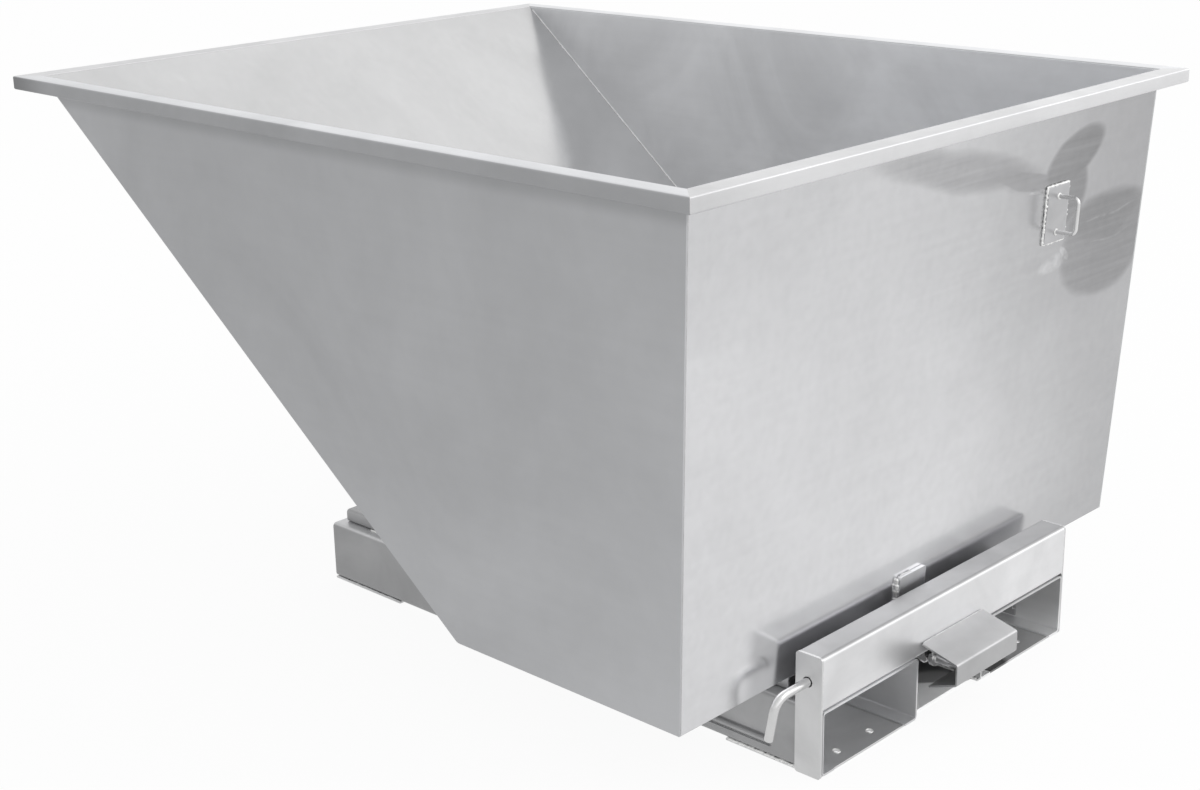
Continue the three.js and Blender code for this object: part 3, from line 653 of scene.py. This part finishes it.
def rim_mitres():
    """Ground welds that close the rim's mitres flush with the tube."""
    low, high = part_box("rim_rear")
    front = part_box("rim_front")[1].y
    width = high.y - low.y
    depth, full = 0.75 * MM, 1.5 * MM
    top = high.z - depth - 0.05 * MM
    parts = []
    for sign in (-1, 1):
        for outer_y, step in ((low.y, 1), (front, -1)):
            out = Vector((sign * (high.x - depth), outer_y + step * depth, top))
            inn = Vector((sign * (high.x - width), outer_y + step * width, top))
            down = Vector((0, 0, low.z - high.z + 2 * full))
            parts.append(bead([inn, out], depth, rough=0.03))
            edge = Vector((sign * (high.x - full), outer_y + step * full, high.z - full))
            parts.append(bead([edge, edge + down], full, rough=0.05))
    make_piece("weld_rim_mitres", parts, "bin", WELD)


def outline(low, high, y, lean, inset):
    """Corners of a plate on the rear wall, as seen from behind, going round it."""
    places = [(low.x + inset, low.z + inset), (high.x - inset, low.z + inset),
              (high.x - inset, high.z - inset), (low.x + inset, high.z - inset)]
    return [Vector((x, y - lean * (z - low.z), z)) for x, z in places]


def rear_fittings():
    """Beads round the handle's pad and the catch plate, and rings at the handle's feet."""
    foot = corner("rear_wall", "-z", "-y")
    top = corner("rear_wall", "+z", "-y")
    lean = (foot.y - top.y) / (top.z - foot.z)

    def wall_y(z):
        return foot.y - lean * (z - foot.z)

    low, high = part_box("handle_pad")
    around = outline(low, high, wall_y(low.z) - 1.4 * MM, lean, -0.6 * MM)
    parts = [bead(around, 2.0 * MM, pitch=3.0 * MM, rough=0.3, closed=True)]
    bar_low, bar_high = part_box("handle_bar")
    thick = (bar_high.x - bar_low.x) / 2
    around_foot = thick + 0.5 * MM
    x = (bar_low.x + bar_high.x) / 2
    for z in (bar_low.z + thick, bar_high.z - thick):
        foot_ring = ring(x, wall_y(z) - 4.6 * MM, z, around_foot, 30, flat=False)
        parts.append(bead(foot_ring, 1.5 * MM, pitch=2.4 * MM, rough=0.25, closed=True))
    make_piece("weld_handle", parts, "bin", WELD)

    low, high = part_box("catch_plate")
    plate = outline(low, high, wall_y(low.z) - 1.5 * MM, lean, 0)
    left_low, right_low, right_high, left_high = plate
    parts = []
    for start, end, first, last, radius, rough in (
            (left_high, left_low, 0.02, 0.36, 3.4 * MM, 0.3),
            (left_high, right_high, 0.06, 0.50, 1.3 * MM, 0.4),
            (right_high, right_low, 0.06, 0.42, 1.5 * MM, 0.4)):
        line = [start.lerp(end, first), start.lerp(end, last)]
        parts.append(bead(line, radius, pitch=4 * MM, rough=rough))
    make_piece("weld_catch_plate", parts[:1], "bin", WELD)
    make_piece("weld_catch_plate_edges", parts[1:], "bin", DULL_WELD)


def crossbar_end(sign):
    """Bead round one end of the crossbar, up its rear, over the top with cut corners, down its front."""
    low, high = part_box("crossbar")
    x = sign * (high.x + 0.15 * MM)
    inset, cut = 0.9 * MM, 6 * MM
    loop = [(low.y + inset, low.z), (low.y + inset, high.z - cut), (low.y + cut, high.z - inset),
            (high.y - cut, high.z - inset), (high.y - inset, high.z - cut), (high.y - inset, low.z)]
    return bead([Vector((x, y, z)) for y, z in loop], 1.0 * MM, pitch=2.6 * MM, rough=0.12)


def base_welds():
    """Beads on the base: crossbar ends, tie plates, rails, pockets under the crossbar, and hood."""
    parts, dull = [], []
    bar_low, bar_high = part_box("crossbar")
    tie_low, tie_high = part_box("rear_tie_plate")
    front_low, front_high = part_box("front_tie_plate")
    for side, sign in (("left", -1), ("right", 1)):
        parts.append(crossbar_end(sign))
        low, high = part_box(f"fork_pocket_{side}")
        outer = sign * max(abs(low.x), abs(high.x))
        inner = sign * min(abs(low.x), abs(high.x))
        z = tie_high.z - 0.4 * MM
        for x in (outer - sign * TIE_OFFSET, inner + sign * TIE_OFFSET):
            rear = [Vector((x, tie_low.y + 2 * MM, z)), Vector((x, tie_high.y, z))]
            parts.append(bead(rear, TIE_BEAD, pitch=3 * MM, rough=0.25))
            front = [Vector((x, front_low.y, z)), Vector((x, front_high.y - 2 * MM, z))]
            dull.append(bead(front, FRONT_TIE_BEAD, pitch=3 * MM, rough=0.2))
        rail_low, rail_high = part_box(f"track_rail_{side}")
        x = sign * (max(abs(rail_low.x), abs(rail_high.x)) + 0.2 * MM)
        z = high.z + 0.8 * MM
        parts += stitches(Vector((x, rail_low.y + 20 * MM, z)), Vector((x, rail_high.y - 10 * MM, z)),
                          2.0 * MM, *RAIL_STITCH)
        y, z = bar_high.y - 0.3 * MM, high.z + 1.0 * MM
        parts += stitches(Vector((inner + sign * 12 * MM, y, z)), Vector((outer - sign * 12 * MM, y, z)),
                          1.6 * MM, *BAR_STITCH)
    hood_low, hood_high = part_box("latch_hood")
    y, z = bar_low.y - 1.2 * MM, hood_high.z - 0.4 * MM
    joint = [Vector((x, y, z)) for x in (hood_low.x + 3 * MM, hood_high.x - 3 * MM)]
    dull.append(bead(joint, 1.2 * MM, pitch=3 * MM, rough=0.12))
    make_piece("weld_base", parts, "base", WELD)
    make_piece("weld_base_flat", dull, "base", DULL_WELD)


def hole_burrs():
    """Turned edges round the holes in the left half of the rear tie plate, in the bright weld's painted
    highlight.
    """
    low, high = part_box("rear_tie_plate")
    edge = sorted((v.co.copy() for v in NODES["rear_tie_plate"].data.vertices
                   if v.co.z > high.z - 0.1 * MM and low.y + 15 * MM < v.co.y < low.y + 40 * MM
                   and v.co.x < 0),
                  key=lambda p: p.x)
    holes = [[edge[0]]]
    for p in edge[1:]:
        if p.x - holes[-1][-1].x > 12 * MM:
            holes.append([])
        holes[-1].append(p)
    parts = []
    for hole in holes:
        x = (hole[0].x + hole[-1].x) / 2
        y = (min(p.y for p in hole) + max(p.y for p in hole)) / 2
        radius = (hole[-1].x - hole[0].x) / 2 + 0.5 * MM
        burr = ring(x, y, high.z + 0.2 * MM, radius, 20, flat=True)
        parts.append(bead(burr, 0.9 * MM, pitch=2.4 * MM, rough=0.2, closed=True))
    make_piece("hole_burrs", parts, "base", WELD)


bin_welds()
rim_mitres()
rear_fittings()
base_welds()
hole_burrs()


# ---- Studio ----

# The floor glows, so that its shadow stays pale; metal sees it brighter to the right
FLOOR_HALF = 30.0
FLOOR_DROP = -0.5 * MM
FLOOR_GLOW = 0.93
FLOOR_SPAN = (-3.0, 3.0)
FLOOR_IN_METAL = (0.62, 0.90)
# Brightness of the surroundings: low down and overhead, and its factor from left to right
SKY_SPAN = (0.15, 0.85)
SKY = (1.15, 0.98)
SIDE_SPAN = (-1.2, 1.2)
SIDE_GLOW = (0.70, 1.12)
# How far light is followed between metal faces
BOUNCES = 14
# Area lights: name, place, target, size in metres, power in watts
LIGHTS = [
    ("key_softbox", (1.2, -4.2, 3.4), (0, -0.3, 0.4), (4.0, 3.2), 32),
    ("edge_softbox", (3.4, -2.9, 1.7), (0, -0.6, 0.2), (1.6, 1.6), 6),
]


def rightwards(t, split):
    """Coordinate that grows to the right in the picture."""
    return t.math("SUBTRACT", split.outputs[0], split.outputs[1])


def floor_material():
    material = bpy.data.materials.new("floor_pale")
    material.use_nodes = True
    t = Tree(material.node_tree)
    shader = material.node_tree.nodes["Principled BSDF"]
    shader.inputs["Base Color"].default_value = (0.92, 0.92, 0.92, 1)
    shader.inputs["Roughness"].default_value = 0.9
    shader.inputs["Specular IOR Level"].default_value = 0.1
    split = t.node("ShaderNodeSeparateXYZ")
    t.feed(split.inputs[0], t.node("ShaderNodeNewGeometry").outputs["Position"])
    seen_in_metal = t.span(rightwards(t, split), *FLOOR_SPAN, *FLOOR_IN_METAL, smooth=True)
    glossy = t.node("ShaderNodeLightPath").outputs["Is Glossy Ray"]
    glow = t.node("ShaderNodeEmission")
    t.feed(glow.inputs["Strength"], t.mix(glossy, 1.0, seen_in_metal))
    share = t.node("ShaderNodeMixShader")
    share.inputs[0].default_value = FLOOR_GLOW
    t.feed(share.inputs[1], shader.outputs[0])
    t.feed(share.inputs[2], glow.outputs[0])
    t.feed(material.node_tree.nodes["Material Output"].inputs["Surface"], share.outputs[0])
    return material


def floor():
    mesh = bpy.data.meshes.new("floor")
    square = ((-1, -1), (1, -1), (1, 1), (-1, 1))
    corners = [(x * FLOOR_HALF, y * FLOOR_HALF, FLOOR_DROP) for x, y in square]
    mesh.from_pydata(corners, [], [(0, 1, 2, 3)])
    mesh.materials.append(floor_material())
    obj = bpy.data.objects.new("floor", mesh)
    bpy.context.scene.collection.objects.link(obj)


def surroundings():
    """White to the camera; to everything else a soft gradient from low to overhead and left to right."""
    world = bpy.data.worlds.new("studio")
    bpy.context.scene.world = world
    world.use_nodes = True
    t = Tree(world.node_tree)
    background = world.node_tree.nodes["Background"]
    split = t.node("ShaderNodeSeparateXYZ")
    t.feed(split.inputs[0], t.node("ShaderNodeTexCoord").outputs["Generated"])
    height = t.span(split.outputs[2], *SKY_SPAN, *SKY, smooth=True)
    side = t.span(rightwards(t, split), *SIDE_SPAN, *SIDE_GLOW, smooth=True)
    camera_ray = t.node("ShaderNodeLightPath").outputs["Is Camera Ray"]
    background.inputs["Color"].default_value = (1, 1, 1, 1)
    t.feed(background.inputs["Strength"], t.mix(camera_ray, t.math("MULTIPLY", height, side), 1.0))


def soft_light(name, place, target, size, power):
    data = bpy.data.lights.new(name, "AREA")
    data.shape = "RECTANGLE"
    data.size, data.size_y = size
    data.energy = power
    light = bpy.data.objects.new(name, data)
    light.location = place
    light.rotation_euler = (Vector(target) - Vector(place)).to_track_quat("-Z", "Y").to_euler()
    bpy.context.scene.collection.objects.link(light)


def studio():
    scene = bpy.context.scene
    scene.view_settings.view_transform = "Standard"
    scene.view_settings.look = "None"
    scene.cycles.max_bounces = BOUNCES
    scene.cycles.glossy_bounces = BOUNCES
    floor()
    surroundings()
    for light in LIGHTS:
        soft_light(*light)


def camera():
    data = bpy.data.cameras.new("camera")
    data.sensor_fit = "HORIZONTAL"
    data.sensor_width = SENSOR_MM
    data.lens = LENS_MM
    yaw, pitch, roll = CAMERA_TURN
    turn = (Matrix.Rotation(yaw, 3, "Z") @ Matrix.Rotation(pitch, 3, "X") @ Matrix.Rotation(roll, 3, "Y"))
    right, forward, up = turn.col
    basis = Matrix((right, up, -forward)).transposed()
    obj = bpy.data.objects.new("camera", data)
    obj.matrix_world = Matrix.Translation(CAMERA_PLACE) @ basis.to_4x4()
    bpy.context.scene.collection.objects.link(obj)
    bpy.context.scene.camera = obj


studio()
camera()
